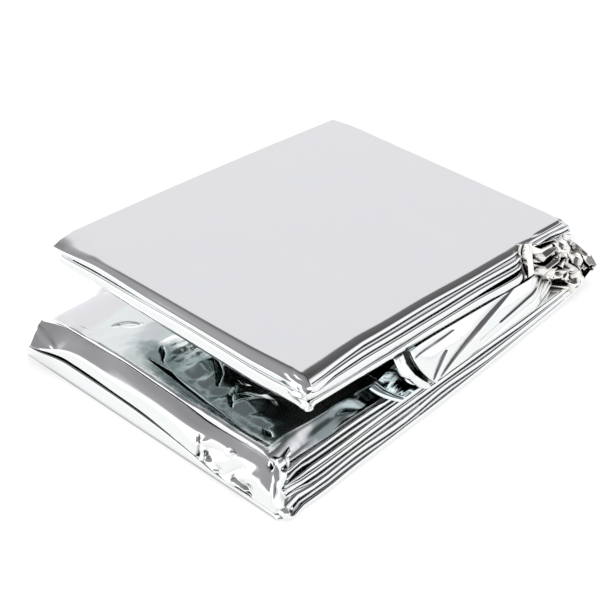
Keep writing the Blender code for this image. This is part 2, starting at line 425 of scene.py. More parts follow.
def leaf_points(index):
    """Both faces of one leaf, as arrays of rows by columns by three."""
    first, last = ("spine", "fore") if index % 2 == 0 else ("fore", "spine")
    count = STATIONS.get(index, PLAIN_STATIONS)
    share = np.concatenate([[0.0], np.linspace(END_STATION, 1 - END_STATION, count), [1.0]])
    if index in STATIONS:
        toward_fore = share if last == "fore" else 1 - share
        eased = 1 - (1 - toward_fore) ** STATION_EASE
        share = eased if last == "fore" else 1 - eased
    x = mix(bend_x(index, first)[:, None], bend_x(index, last)[:, None], share[None, :])
    y = own_rows(index, x)
    low, high = leaf_relief(index, x, y, *leaf_heights(index, x, y))
    below = np.stack([x, y, low], axis=-1)
    above = np.stack([x, y, high], axis=-1)
    return (below, above) if index % 2 == 0 else (above, below)


# The folded-down facet at the top face's far fore corner, across the width: the X of its
# crease and its slope.
CORNER_FACET = table(("y", "crease_x", "slope"), (
    (14.0, -53.2, 0.04), (24.0, -52.2, 0.20), (32.0, -51.3, 0.33), (37.0, -50.7, 0.37),
    (41.0, -50.2, 0.39), (45.0, -49.8, 0.40), (49.0, -49.6, 0.39)))
FACET_SHARE = {9: (0.7, 1.0), 8: (0.2, 0.7), 7: (0.0, 0.2)}     # how much each leaf falls with it
# The top face's fall to its near edge, how wide that is and how sharply it curves, at the
# fore edge and beyond, the X between which these change, and the share left by the spine.
SHOULDER_FALL = (1.0, 0.6)
SHOULDER_WIDTH = (3.5, 2.6)
SHOULDER_CURVE = (1.8, 1.35)
SHOULDER_ALONG = (-50.0, -14.0)
SHOULDER_LEFT = (38.0, 50.0, 0.55)
# A pinched crease along the top face's near edge by the spine: the X where it starts and
# is full, how far in it lies, its half width and depth.
PINCH = dict(along=(50.0, 56.0), inward=1.3, width=0.5, depth=0.9)
# Under the far end of the upper fore fold the leaf below sinks and leaves a dark gap:
# how deep, the Y between which it grows, and how far in along the leaf it reaches.
SUNK = dict(leaf=7, depth=0.95, across=(-8.0, 28.0), along=(-50.0, -38.0))
LEAST_THICK = (0.25, 0.3)       # what stays of a sunk leaf, and of the lower half's top leaf


def leaf_relief(index, x, y, low, high):
    """Creases and shoulders of one leaf's faces."""
    least, lower_least = LEAST_THICK
    if index == TOP_LEAF:
        inward = smooth(*SHOULDER_ALONG, x)
        starts, full, left = SHOULDER_LEFT
        kept = mix(1.0, left, smooth(starts, full, x))
        place = y - near_edge(index, x)
        edge = np.clip(1 - place / (mix(*SHOULDER_WIDTH, inward) * kept), 0.0, 1.0)
        sharp = mix(*SHOULDER_CURVE, inward)
        high = high - mix(*SHOULDER_FALL, inward) * kept * edge ** sharp
        pinch = np.maximum(1 - np.abs(place - PINCH["inward"]) / PINCH["width"], 0.0)
        high = high - PINCH["depth"] * pinch * smooth(*PINCH["along"], x)
    if index in FACET_SHARE:
        past_crease = np.maximum(curve(CORNER_FACET, "crease_x", y) - x, 0.0)
        fall = curve(CORNER_FACET, "slope", y) * past_crease * (y > CORNER_FACET["y"][0])
        low_share, high_share = FACET_SHARE[index]
        low = low - low_share * fall
        high = np.maximum(high - high_share * fall, low + least)
    if index == SUNK["leaf"]:
        sunk = smooth(*SUNK["across"], y) * (1 - smooth(*SUNK["along"], x))
        high = np.maximum(high - SUNK["depth"] * sunk, low + least)
    if index == LOWER_TOP:
        high = np.maximum(high - ply_shoulder(y - near_edge(index, x)), low + lower_least)
    return low, high


def ply_shoulder(inward):
    """How far the lower half's top falls at the given distance from its near edge."""
    _, width, fall, sharp = PLY_NEAR
    return fall * np.clip(1 - inward / width, 0.0, 1.0) ** sharp


# How far a fold stands out at each share of its height: round, nearly square, and with its
# upper side creased high up or lower down.
ROUND_NOSE = table(("up", "out"), (
    (0.00, 0.00), (0.03, 0.36), (0.09, 0.62), (0.20, 0.84), (0.35, 0.96), (0.50, 1.00),
    (0.65, 0.96), (0.80, 0.84), (0.91, 0.62), (0.97, 0.36), (1.00, 0.00)))
FULL_NOSE = table(("up", "out"), (
    (0.00, 0.00), (0.02, 0.48), (0.06, 0.76), (0.16, 0.93), (0.32, 0.99), (0.50, 1.00),
    (0.68, 0.99), (0.84, 0.93), (0.94, 0.76), (0.98, 0.48), (1.00, 0.00)))
CREASED_NOSE = table(("up", "out"), (
    (0.00, 0.00), (0.02, 0.50), (0.06, 0.78), (0.14, 0.92), (0.30, 0.98), (0.50, 1.00),
    (0.66, 0.985), (0.74, 0.94), (0.79, 0.84), (0.88, 0.46), (1.00, 0.00)))
STEEP_NOSE = table(("up", "out"), (
    (0.00, 0.00), (0.02, 0.50), (0.06, 0.78), (0.14, 0.92), (0.26, 0.98), (0.40, 1.00),
    (0.52, 0.985), (0.58, 0.93), (0.63, 0.80), (0.81, 0.44), (1.00, 0.00)))
# Each fold's shape at its near end and at its far end, and the Y between which it changes.
NOSES = {6: (FULL_NOSE, FULL_NOSE), 8: (STEEP_NOSE, CREASED_NOSE)}
NOSE_CHANGES = (6.0, 34.0)


def nose_points(index, y):
    """How far up and how far out the points round a fold lie, for every row."""
    near, far = NOSES.get(index, (ROUND_NOSE, ROUND_NOSE))
    changed = smooth(*NOSE_CHANGES, y)[:, None]
    steps = np.arange(1, FOLD_STEPS) / FOLD_STEPS
    spread = np.linspace(0.0, 1.0, len(near["up"]))
    return [mix(np.interp(steps, spread, near[way]), np.interp(steps, spread, far[way]), changed)
            for way in ("up", "out")]


def fold_points(index):
    """Both faces of the fold from one leaf to the next one up."""
    end = fold_end(index)
    start_x, reach = fold_bend(index, end)
    low_y, high_y = (own_rows(which, start_x[:, None])[:, 0] for which in (index, index + 1))
    low_under, low_over = leaf_relief(index, start_x, low_y, *leaf_heights(index, start_x, low_y))
    high_under, high_over = leaf_relief(
        index + 1, start_x, high_y, *leaf_heights(index + 1, start_x, high_y))
    sign = 1.0 if end == "spine" else -1.0
    turn = np.pi * np.arange(1, FOLD_STEPS) / FOLD_STEPS
    share, stands = nose_points(index, low_y)
    y = mix(low_y[:, None], high_y[:, None], share)
    bore = sign * (high_under - low_over) / 2
    outer = np.stack([start_x[:, None] + reach[:, None] * stands, y,
                      mix(low_under[:, None], high_over[:, None], share)], axis=-1)
    inner = np.stack([start_x[:, None] + bore[:, None] * np.sin(turn), y,
                      mix(low_over[:, None], high_under[:, None], share)], axis=-1)
    return (outer, inner) if end == "fore" else (inner, outer)


def strip_faces():
    outside, inside = [], []
    for index in range(len(LEAVES)):
        front, back = leaf_points(index)
        outside.append(front)
        inside.append(back)
        if index < len(LEAVES) - 1:
            front, back = fold_points(index)
            outside.append(front)
            inside.append(back)
    outside = np.concatenate(outside, axis=1)
    inside = np.concatenate(inside, axis=1)
    outside, inside = crushed(outside), crushed(inside)
    thin = edge_thinning()
    middle = (outside + inside) / 2
    half = (outside - inside) / 2
    kept = half * (1 - thin) * flat_top(*outside.shape[:2])
    return middle + half * thin + kept, middle - half * thin + kept


# Corners where the stack is crushed: centre, reach, size of its creases, depth.  The shares
# of the depth go along X, Y and Z.  The fade is the power of its fall from the centre, and
# steep is how much closer together the creases lie upward.
CRUSHED = (
    (-53.5, -46.0, 29.5, 9.0, 2.6, 2.6),
    (-63.0, -49.5, 5.0, 12.0, 3.2, 2.8),
    (69.0, -47.0, 13.0, 13.0, 3.4, 2.6),
)
CRUSH = dict(shares=(0.6, 1.0, 0.35), fade=0.7, steep=1.5, seed=50)


def crushed(points):
    """The stack's points, moved about near its crushed corners."""
    moved = points.copy()
    x, y, z = (points[..., axis] for axis in range(3))
    for place, (*centre, reach, cell, depth) in enumerate(CRUSHED):
        near = np.maximum(1 - np.linalg.norm(points - np.array(centre), axis=-1) / reach, 0.0)
        for axis, share in enumerate(CRUSH["shares"]):
            bent = crumple(x + y, z * CRUSH["steep"] - y, cell, CRUSH["seed"] + 3 * place + axis)
            moved[..., axis] += depth * share * near ** CRUSH["fade"] * bent
    return moved


def flat_top(rows, columns):
    """1 where a side edge rounds off only from below: the far edge of the top face."""
    share = np.zeros((rows, columns, 1))
    last = STATIONS[TOP_LEAF] + 2 + FOLD_STEPS - 1
    share[-len(FAR_ROWS):, -last:] = 1.0
    return share


# ------------------------------------------------------------------ meshes
def placed(name, data):
    """A new object in the scene."""
    thing = bpy.data.objects.new(name, data)
    bpy.context.scene.collection.objects.link(thing)
    return thing


def closed_sheet(name, front, back):
    """One closed sheet from two matching grids of points."""
    rows, columns = front.shape[:2]
    points = np.concatenate([front.reshape(-1, 3), back.reshape(-1, 3)])
    points = (points + SHIFT) * MM
    grid = np.arange(rows * columns).reshape(rows, columns)
    other = grid + rows * columns
    faces = []

    def quads(a, b, c, d):
        faces.append(np.stack([a.ravel(), b.ravel(), c.ravel(), d.ravel()], axis=1))

    quads(grid[:-1, :-1], grid[:-1, 1:], grid[1:, 1:], grid[1:, :-1])
    quads(other[:-1, :-1], other[1:, :-1], other[1:, 1:], other[:-1, 1:])
    quads(grid[0, 1:], grid[0, :-1], other[0, :-1], other[0, 1:])
    quads(grid[-1, :-1], grid[-1, 1:], other[-1, 1:], other[-1, :-1])
    quads(grid[:-1, 0], grid[1:, 0], other[1:, 0], other[:-1, 0])
    quads(grid[1:, -1], grid[:-1, -1], other[:-1, -1], other[1:, -1])
    faces = np.concatenate(faces)
    mesh = bpy.data.meshes.new(name)
    mesh.from_pydata(points.tolist(), [], faces.tolist())
    mesh.update()
    return placed(name, mesh)


def face_outward(thing):
    """Turn the mesh's faces outward and shade it smooth."""
    mesh = thing.data
    points = np.array([v.co for v in mesh.vertices])
    corners = np.array([p.vertices[:] for p in mesh.polygons])
    a, b, c, d = (points[corners[:, k]] for k in range(4))
    volume = np.sum(a * np.cross(b, c)) + np.sum(a * np.cross(c, d))
    if volume < 0:
        mesh.flip_normals()
    mesh.shade_smooth()


# ------------------------------------------------------------------ loose film
FILM_THICK = 0.22


def normals(grid):
    normal = np.cross(np.gradient(grid, axis=0), np.gradient(grid, axis=1))
    return normal / np.linalg.norm(normal, axis=-1, keepdims=True)


def film(name, grid):
    """A closed sheet round one grid of points."""
    half = normals(grid) * FILM_THICK / 2
    return closed_sheet(name, grid + half, grid - half)


def pushed(grid, height, toward):
    """The grid moved along its own normals, on the side that faces the given way."""
    normal = normals(grid)
    turn = np.sign(np.sum(normal * np.array(toward), axis=-1, keepdims=True))
    return grid + normal * turn * height[..., None]


def bowed(start, end, bow, share):
    """A curve in X and Z from start to end, standing out by its bow."""
    run_x, run_z = end[0] - start[0], end[1] - start[1]
    length = np.hypot(run_x, run_z)
    middle_x = (start[0] + end[0]) / 2 + run_z / length * bow
    middle_z = (start[1] + end[1]) / 2 - run_x / length * bow
    return ((1 - share) ** 2 * start[0] + 2 * share * (1 - share) * middle_x + share ** 2 * end[0],
            (1 - share) ** 2 * start[1] + 2 * share * (1 - share) * middle_z + share ** 2 * end[1])


# The wrap's parts from its inner edge to the floor: name, steps, and the Y of its near
# and far end where the part starts.
WRAP_PARTS = (
    ("tuck", 3, -40.6, 45.2),
    ("strip", 6, -41.0, 45.6),
    ("top", 26, -42.3, 46.0),
    ("low", 26, -46.0, 43.2),
    ("under", 5, -47.6, 43.0),
    ("back", 3, -47.7, 44.0),
    ("ledge", 5, -47.8, 44.6),
    ("band", 14, -48.0, 44.8),
    ("foot", 1, -48.6, 49.5),
)
WRAP_ROWS = 190
TUCK_REACH = 0.7          # how far the wrap's inner edge is tucked on beyond its strip
STRIP_FALL = (0.30, 0.1)  # the strip's slope, and how far its inner edge drops besides
ROOF_RISE = 0.1           # how far the groove's roof rises on its way in
LEDGE_FALL = 0.15         # how far the groove's floor falls on its way out to the lip
PLAIN_BOWS = dict(tuck=0.1, strip=0.12, band=0.25)      # bows that stay the same all along
KNEE_SMOOTHING = (12, 12, 14)   # points before and after the knee, and passes
BAND_FOOT = (-66.9, 0.35)
WRAP_CREASES = (
    # Y and height of both ends, bow, half width, rise
    (-19.0, 9.4, -20.0, 3.6, -0.9, 0.8, -1.2),
    (-20.6, 7.6, -21.4, 3.0, -0.7, 1.0, 0.9),
    (-22.4, 6.6, -22.8, 1.8, -0.6, 0.7, -1.1),
    (-23.8, 5.6, -27.6, 3.0, 0.4, 1.5, 1.6),
    (-28.6, 8.8, -31.2, 9.8, 0.0, 1.0, 1.3),
    (-32.8, 4.8, -38.4, 3.2, 0.4, 1.2, 1.5),
    (-41.8, 11.8, -42.8, 10.2, 0.0, 1.0, -1.8),
    (-46.4, 10.8, -47.4, 9.0, 0.0, 1.0, -2.0),
    (45.8, 12.4, 36.0, 10.2, 0.3, 0.8, 0.30),
)
# Pits and folds crushed into the wrap where it turns the near corner: across the corner
# and height of both ends, bow, half width, rise.
CORNER_CREASES = (
    (-15.4, 10.6, -12.8, 9.4, 0.3, 0.9, -2.8),
    (-15.2, 6.6, -12.4, 7.8, -0.4, 0.8, -2.6),
    (-14.4, 5.2, -12.2, 3.2, 0.3, 0.9, -2.8),
    (-15.4, 1.4, -11.8, 2.4, 0.2, 0.7, -2.4),
)
ROUND_CORNER = (1.6, 5.2)       # the wrap turns onto the near side: how tight, how far
CORNER_ROWS = 26
CORNER_START = 1.2              # how far round it the crumples have grown
# Crumples of the wrap: how tall, how wide, seed.  Soft swells over its whole face, facets
# where it is squeezed, facets at its near end, and those round the corner.  SQUEEZED and
# NEAR_END give the Y, and upward the Z, between which these grow and fade.
FACE_SWELLS = (0.10, 13.0, 3)
SQUEEZED_FACETS = (1.2, 3.4, 5)
END_FACETS = (0.45, 2.6, 6)
CORNER_FACETS = (1.5, 3.0, 8)
SQUEEZED = dict(near=(-42, -37), far=(-22, -17), upper=(7.5, 10.0))
NEAR_END = (-47, -43)
FACE_EDGE = (-61.4, -60.0)      # the X between which the face ends at the strip
FACE_STEPS = 14                 # points below the smoothed knee that are still crumpled


def wrap_grid():
    across = np.linspace(0.0, 1.0, WRAP_ROWS)
    columns = []
    for place, (name, steps, near, far) in enumerate(WRAP_PARTS[:-1]):
        next_near, next_far = WRAP_PARTS[place + 1][2:]
        for step in range(steps):
            share = step / steps
            y = mix(mix(near, next_near, share), mix(far, next_far, share), across)
            at = {key: curve(WRAP, key, y) for key in WRAP if key != "y"}
            rim = (at["rim_x"], at["rim_z"])
            slope, drop = STRIP_FALL
            inner = (at["rim_x"] + at["strip"], at["rim_z"] - slope * at["strip"] - drop)
            tuck = (inner[0] + TUCK_REACH, at["rim_z"] - RIM_STAND + PLY_STAND)
            knee = (at["knee_x"], at["knee_z"])
            seam = (at["seam_x"], at["seam_z"])
            roof = (at["lip_x"] + at["deep"], at["seam_z"] + ROOF_RISE)
            floor = (roof[0], at["seam_z"] - at["groove"])
            lip = (at["lip_x"], floor[1] - LEDGE_FALL)
            ends = {
                "tuck": (tuck, inner), "strip": (inner, rim), "top": (rim, knee),
                "low": (knee, seam), "under": (seam, roof), "back": (roof, floor),
                "ledge": (floor, lip), "band": (lip, BAND_FOOT),
            }[name]
            bow = at.get(f"bow_{name}", PLAIN_BOWS.get(name, 0.0))
            x, z = bowed(*ends, bow, share)
            columns.append(np.stack([x, y, z], axis=-1))
    last_y = mix(WRAP_PARTS[-1][2], WRAP_PARTS[-1][3], across)
    columns.append(np.stack(np.broadcast_arrays(BAND_FOOT[0], last_y, BAND_FOOT[1]), axis=-1))
    grid = np.stack(columns, axis=1)
    knee = sum(steps for _, steps, *_ in WRAP_PARTS[:3])
    before, after, passes = KNEE_SMOOTHING
    for _ in range(passes):
        inner = grid[:, knee - before:knee + after]
        inner[:, 1:-1] = (inner[:, :-2] + 2 * inner[:, 1:-1] + inner[:, 2:]) / 4
    radius, reach = ROUND_CORNER
    run = np.linspace(reach, 0.0, CORNER_ROWS)[:-1, None]
    angle = np.minimum(run / radius, math.pi / 2)
    straight = run - angle * radius
    turned = np.repeat(grid[:1], CORNER_ROWS - 1, axis=0)
    turned[..., 0] += radius * (1 - np.cos(angle)) + straight
    turned[..., 1] -= radius * np.sin(angle)
    grid = np.concatenate([turned, grid])
    y, z = grid[..., 1], grid[..., 2]
    pleated = np.zeros((len(grid), 1))
    pleated[:CORNER_ROWS - 1] = smooth(0.0, CORNER_START, run)
    on_face = (1 - smooth(*FACE_EDGE, grid[..., 0])) * (1 - pleated)
    on_face[:, knee + after + FACE_STEPS:] = 0.0
    height = creased(y, z, WRAP_CREASES) * on_face
    tall, wide, seed = FACE_SWELLS
    height += tall * wander(y, z, wide, seed) * on_face
    squeezed = ((1 - smooth(*SQUEEZED["far"], y)) * smooth(*SQUEEZED["near"], y)
                * (1 - smooth(*SQUEEZED["upper"], z)))
    height += crumpled(y, z, SQUEEZED_FACETS) * on_face * squeezed
    height += crumpled(y, z, END_FACETS) * on_face * (1 - smooth(*NEAR_END, y))
    across_corner = grid[..., 0] - grid[..., 1]
    height += crumpled(across_corner, z, CORNER_FACETS) * pleated
    height += creased(across_corner, z, CORNER_CREASES) * pleated
    return pushed(grid, height, (-1, -1, 0.3))


PLY_STAND = 0.3           # how far the crumpled top ply stands off the leaves
PLY_SPAN = (-59.2, -19.0)
PLY_GRID = (190, 200)     # steps along X and across
PLY_CROWDING = (1.5, 1.25)      # how they crowd toward its fore edge and its near edge
PLY_SETTLES = (-45.0, -15.0)    # the X between which it comes down onto the leaves
# Its near edge past the leaf's, and its shoulder's width, fall and curve.
PLY_NEAR = (0.2, 4.6, 3.3, 1.08)
PLY_FAR = (43.6, -0.07)         # Y of its far edge, and how that leans along X
# How high the ply lies by its fore edge, and how far in from there it is crumpled, across
# the width.
WORKED = table(("y", "lies", "reach"), (
    (-48.0, 12.4, 5.0), (-42.0, 13.2, 7.5), (-34.0, 13.6, 12.0), (-24.0, 13.4, 17.0),
    (-12.0, 13.6, 22.0), (2.0, 14.0, 27.0), (16.0, 14.5, 20.0), (24.0, 14.2, 8.0),
    (30.0, 14.0, 2.0), (38.0, 13.5, 1.0), (46.0, 12.6, 1.0)))
WORKED_WANDER = (0.25, 9.0, 13)         # how unevenly that reach ends
WORKED_FADE = (0.75, 1.1)               # the shares of it between which the crumples fade
UNWORKED = 0.05                         # the share of them that is left beyond
# Crumples of the ply: how tall, how wide, seed.
PLY_FACETS = ((0.22, 10.5, 11), (0.07, 4.6, 17))
# The crushed bulge in the ply: where its fore slope starts and ends, and how high it is.
BULGE = table(("y", "foot_x", "crest_x", "rise"), (
    (-42.0, -58.0, -52.0, 0.0), (-36.0, -58.0, -52.0, 0.7), (-28.0, -57.8, -51.6, 1.5),
    (-20.0, -56.9, -50.0, 2.2), (-12.0, -56.4, -48.4, 2.8), (-4.0, -55.6, -46.8, 3.0),
    (4.0, -53.6, -46.0, 2.4), (9.0, -51.6, -46.4, 1.0), (12.0, -50.6, -46.4, 0.0)))
# The large and the small facets that it is crushed into.
BULGE_FACETS = ((1.6, 7.4, 23), (0.75, 3.4, 24))
BULGE_FULL = 2.0          # how far it is raised where its facets are at their full height
# The shoulder is crushed where it runs in under the web, between these X.
MOUTH_FACETS = (1.1, 3.2, 29)
MOUTH = (-40.0, -33.0)
# Lines along the shoulder: how tall, how wide, seed, and the share of X that counts, which
# draws them out in length.
SHOULDER_LINES = (0.24, 1.3, 27, 0.12)
BULGE_BACK = 9.0          # how far behind its crest the bulge has sunk again
BULGE_LEAN = (1.3, 1.0)   # how far its foot leans forward over the crease, and its width
# The rolled edge: how far out, and how far down as a share of its drop to the wrap's rim.
ROLLED_EDGE = ((1.62, 1.00), (1.62, 0.72), (1.52, 0.44), (1.34, 0.22), (1.05, 0.08), (0.6, 0.02))
ROLL_STAND = 0.12         # how far over the rim it ends
ROLL_LEAST = 0.3          # its least drop
PLY_CREASES = (
    # X and Y of both ends, bow, half width, rise
    (-55.8, 8.6, -57.2, -22.0, 0.5, 1.3, -2.2),
    (-58.3, 5.0, -58.8, -26.0, 0.2, 0.6, -0.7),
    (-57.4, -12.0, -57.8, -30.0, -0.3, 0.7, -0.6),
    (-49.6, 9.6, -54.0, 5.2, 0.3, 1.0, -1.7),
    (-45.4, -5.4, -51.8, -13.6, 1.2, 1.0, -1.8),
    (-48.6, -17.4, -54.6, -21.8, -0.9, 0.8, -1.5),
    (-55.0, -34.0, -55.6, -37.0, 0.0, 0.9, -1.6),
    (-57.2, -43.0, -56.0, -45.4, 0.0, 0.9, -1.5),
    (-53.0, 27.4, -46.8, 22.4, 0.9, 1.0, -0.40),
    (-51.0, 26.6, -46.0, 21.6, -0.8, 0.9, -0.34),
)


def bulge(x, y):
    """The bulge's height, and how far along its fore slope each place lies."""
    foot, crest = curve(BULGE, "foot_x", y), curve(BULGE, "crest_x", y)
    rise = np.maximum(curve(BULGE, "rise", y), 0.0)
    up = smooth(0.0, 1.0, (x - foot) / (crest - foot))
    return rise * up * (1 - smooth(crest + 2.0, crest + BULGE_BACK, x)), x - foot, rise


def ply_grid():
    """The loose top ply of the lower half, crumpled where the packet has been squeezed."""
    along, across = (np.linspace(0.0, 1.0, count + 1) for count in PLY_GRID)
    crowd_along, crowd_across = PLY_CROWDING
    x = mix(*PLY_SPAN, along ** crowd_along)[None, :] + np.zeros((PLY_GRID[1] + 1, 1))
    past, shoulder, *_ = PLY_NEAR
    near = near_edge(LOWER_TOP, x) - past
    far_y, lean = PLY_FAR
    far = far_y + lean * (x - PLY_SPAN[0])
    y = mix(near, far, across[:, None] ** crowd_across)
    _, top = leaf_heights(LOWER_TOP, x, y)
    level = mix(curve(WORKED, "lies", y), top + 2 * PLY_STAND, smooth(*PLY_SETTLES, x))
    stray, length, seed = WORKED_WANDER
    reach = curve(WORKED, "reach", y) * (1 + stray * wander(x, y, length, seed))
    worked = 1 - smooth(*WORKED_FADE, (x - PLY_SPAN[0]) / reach)
    worked *= smooth(shoulder / 2, shoulder * 1.6, y - near)
    raised, past_foot, rise = bulge(x, y)
    height = sum(crumpled(x, y, size) for size in PLY_FACETS) * mix(UNWORKED, 1.0, worked)
    facets = sum(crumpled(x, y, size) for size in BULGE_FACETS)
    height += facets * np.clip(raised / BULGE_FULL, 0.0, 1.0) * worked
    height += raised + creased(x, y, PLY_CREASES) * smooth(0.0, 2.0, x - PLY_SPAN[0])
    z = np.maximum(level + height, top + PLY_STAND)
    on_shoulder = np.clip(1 - (y - near) / shoulder, 0.0, 1.0)
    tall, wide, seed, stretch = SHOULDER_LINES
    z += tall * wander(x * stretch, y, wide, seed) * np.sin(np.pi * on_shoulder)
    z += crumpled(x, y, MOUTH_FACETS) * np.sin(np.pi * on_shoulder) ** 0.5 * smooth(*MOUTH, x)
    z -= ply_shoulder(y - near)
    lean_x, lean_width = BULGE_LEAN
    leaning = lean_x * np.exp(-((past_foot - lean_width) / lean_width) ** 2)
    leaning = leaning * np.clip(rise, 0.0, 1.0)
    flat = np.stack([x - leaning, y, z], axis=-1)
    edge = []
    start = flat[:, 0]
    drop = start[:, 2] - curve(WRAP, "rim_z", start[:, 1]) - ROLL_STAND
    for out, down in ROLLED_EDGE:
        point = start.copy()
        point[:, 0] -= out
        point[:, 2] -= np.maximum(drop, ROLL_LEAST) * down
        edge.append(point)
    return np.concatenate([np.stack(edge, axis=1), flat], axis=1)


# A ply pulled across the near side, from the upper half to the lower: its four corners,
# how far its fore end bows back, the hem rolled outward along that end, the slot beside
# the hem, and how its spine end is drawn in under the gathered corner.
WEB = dict(
    fore_top=(-18.0, -46.2, 22.0), fore_low=(-10.6, -52.0, 10.2),
    back_top=(64.0, -49.2, 15.0), back_low=(64.0, -51.4, 7.4),
    fore_bow=2.4, hem=(1.75, 1.25), taper=0.5, slot=(1.9, 4.2), hem_crush=0.8,
    puff=(2.0, 5.0), bulge=0.8, drawn=(40.0, 56.0, 5.6), columns=170, rows=80, seed=21,
    uneven=0.10)
PLEAT = dict(
    fore_top=(-25.2, -44.2, 14.9), fore_low=(-20.0, -50.8, 10.8),
    back_top=(-4.0, -42.0, 16.4), back_low=(-4.0, -51.2, 10.9),
    fore_bow=0.9, hem=(1.1, 0.7), taper=0.3, slot=(0.45, 1.2), hem_crush=0.10,
    puff=(0.3, 3.0), bulge=0.0, drawn=(44.0, 60.0, 0.0), columns=80, rows=60, seed=25,
    uneven=0.03)
WEB_CREASES = (
    # X and height of both ends, bow, half width, rise
    (-6.4, 10.0, 37.0, 18.4, 1.3, 1.5, -0.95),
    (-8.2, 11.6, 0.8, 15.8, 0.2, 1.1, -0.9),
    (8.0, 9.2, 60.0, 11.6, 0.3, 0.9, -0.5),
    (14.0, 11.6, 52.0, 13.4, 0.0, 0.8, 0.35),
    (24.0, 12.4, 58.0, 14.0, 0.3, 0.9, -0.5),
    (-13.0, 20.4, 6.0, 18.8, 0.0, 0.8, -0.5),
)
PLEAT_CREASES = (
    (-24.0, 13.2, -4.0, 14.6, 0.0, 0.5, 0.14),
    (-23.0, 12.2, -4.0, 13.4, 0.0, 0.5, -0.16),
    (-22.0, 11.2, -4.0, 12.2, 0.0, 0.5, 0.14),
    (-21.0, 10.3, -4.0, 11.0, 0.0, 0.4, -0.20),
)


HEM_TURN = (152, -90, 34)       # the hem's roll: degrees from and to, points
# The slot beside the hem and the film past it: how many hem widths and slot widths along,
# and how many slot depths and puffs out.
PAST_HEM = (
    (1.97, 0, -0.5, 0.0), (1.99, 0, -1.0, 0.0), (2.00, 1, -1.0, 0.0),
    (2.02, 1, 0.0, 0.0), (2.04, 1, 0.0, 0.7), (2.10, 1, 0.0, 1.0),
)
# How wide the swells, the facets and the hem's facets are, and the facets' share of height.
WEB_LUMPS = (9.0, 6.0, 3.0)
WEB_FACETS = 0.6


def pulled_ply(size, creases):
    along = np.linspace(0.0, 1.0, size["columns"] + 1)
    down = np.linspace(0.0, 1.0, size["rows"] + 1)[:, None]
    fore_top, fore_low, back_top, back_low = (
        np.array(size[key]) for key in ("fore_top", "fore_low", "back_top", "back_low"))
    fore = fore_top * (1 - down) + fore_low * down
    fore[:, 0] -= size["fore_bow"] * 4 * down[:, 0] * (1 - down[:, 0])
    back = back_top * (1 - down) + back_low * down
    run = back - fore
    length = np.linalg.norm(run, axis=1, keepdims=True)
    step = run / length
    fall = fore_low - fore_top
    out = np.cross(step, fall / np.linalg.norm(fall))
    out *= -np.sign(out[:, 1:2])
    bulge_out = size["bulge"] * np.sin(np.pi * down) ** 0.8
    narrow = 1 - size["taper"] * down ** 2
    wide, high = (measure * narrow for measure in size["hem"])
    slot_wide, slot_deep = size["slot"]
    slot_deep = slot_deep * np.sin(np.pi * np.clip(down, 0.04, 0.96)) ** 0.4
    turns = np.radians(np.linspace(*HEM_TURN))
    profile = [(wide * (1 - math.cos(t)), high * math.sin(t)) for t in turns]
    puff, puff_length = size["puff"]
    profile += [(wide * hems + slot_wide * slots, slot_deep * deep + puff * puffs * narrow)
                for hems, slots, deep, puffs in PAST_HEM]
    columns = [fore + step * t + out * (n + bulge_out) for t, n in profile]
    start = profile[-1][0]
    drawn_from, drawn_to, drawn = size["drawn"]
    for share in along[1:]:
        further = (length - start) * share
        puffed = puff * narrow * np.exp(-further / puff_length)
        point = fore + step * (start + further) + out * (bulge_out + puffed)
        columns.append(point - out * drawn * smooth(drawn_from, drawn_to, point[:, :1]))
    grid = np.stack(columns, axis=1)
    x, z = grid[..., 0], grid[..., 2]
    column = np.arange(grid.shape[1])
    swell_wide, facet_wide, hem_wide = WEB_LUMPS
    uneven, seed = size["uneven"], size["seed"]
    height = creased(x, z, creases) + uneven * wander(x, z, swell_wide, seed)
    height += crumpled(x, z, (uneven * WEB_FACETS, facet_wide, seed + 4))
    ends = np.sin(np.pi * np.clip(down, 0.02, 0.98)) ** 0.3
    crush = crumpled(x, z, (size["hem_crush"], hem_wide, seed + 8))
    height = height * (column >= len(profile)) + crush * (column < len(turns))
    return pushed(grid, height * ends, (0, -1, 0.2))


# The gathered corner by the spine, from its strap to behind its ear: the run along it,
# and where its upper and lower edges lie.
GATHER = table(
    ("run", "top_x", "top_y", "top_z", "low_x", "low_y", "low_z"), (
        (0.0, 41.6, -42.8, 26.6, 39.6, -46.4, 17.7),
        (3.4, 46.4, -43.4, 25.2, 43.2, -47.2, 17.8),
        (8.0, 51.0, -45.0, 22.7, 48.0, -48.8, 15.9),
        (14.0, 58.0, -45.4, 21.4, 52.6, -50.6, 11.4),
        (20.0, 65.6, -44.2, 19.0, 57.6, -52.0, 7.2),
        (24.0, 70.4, -44.6, 14.2, 60.8, -52.6, 4.2),
        (29.0, 71.6, -47.0, 11.7, 67.6, -50.8, 2.6),
        (34.0, 73.0, -49.6, 9.4, 72.0, -52.4, 7.8),
        (40.0, 71.0, -44.0, 12.5, 70.6, -46.0, 4.0),
        (48.0, 70.4, -36.0, 12.5, 70.4, -37.0, 3.0),
    ))
GATHER_GRID = (380, 120)
GATHER_STRAP = (2.2, 3.6)       # how far the strap stands proud, and its width
STRAP_EDGES = (0.3, 0.4)        # over what length its fore side rises; half its spine side's fall
GATHER_HEM = (1.6, 2.4)         # its lower edge turns under: how far down, how far in
HEM_PARTS = (0.15, 0.35, 0.6, 1.0)      # the share of that turn at each row of points
GATHER_EDGES = (1.2, 1.5)       # the crumples are full this far from its upper and lower edge
GATHER_LUMPS = ((5.0, 31), (2.5, 37))   # how wide the large and the small ones are, and seed
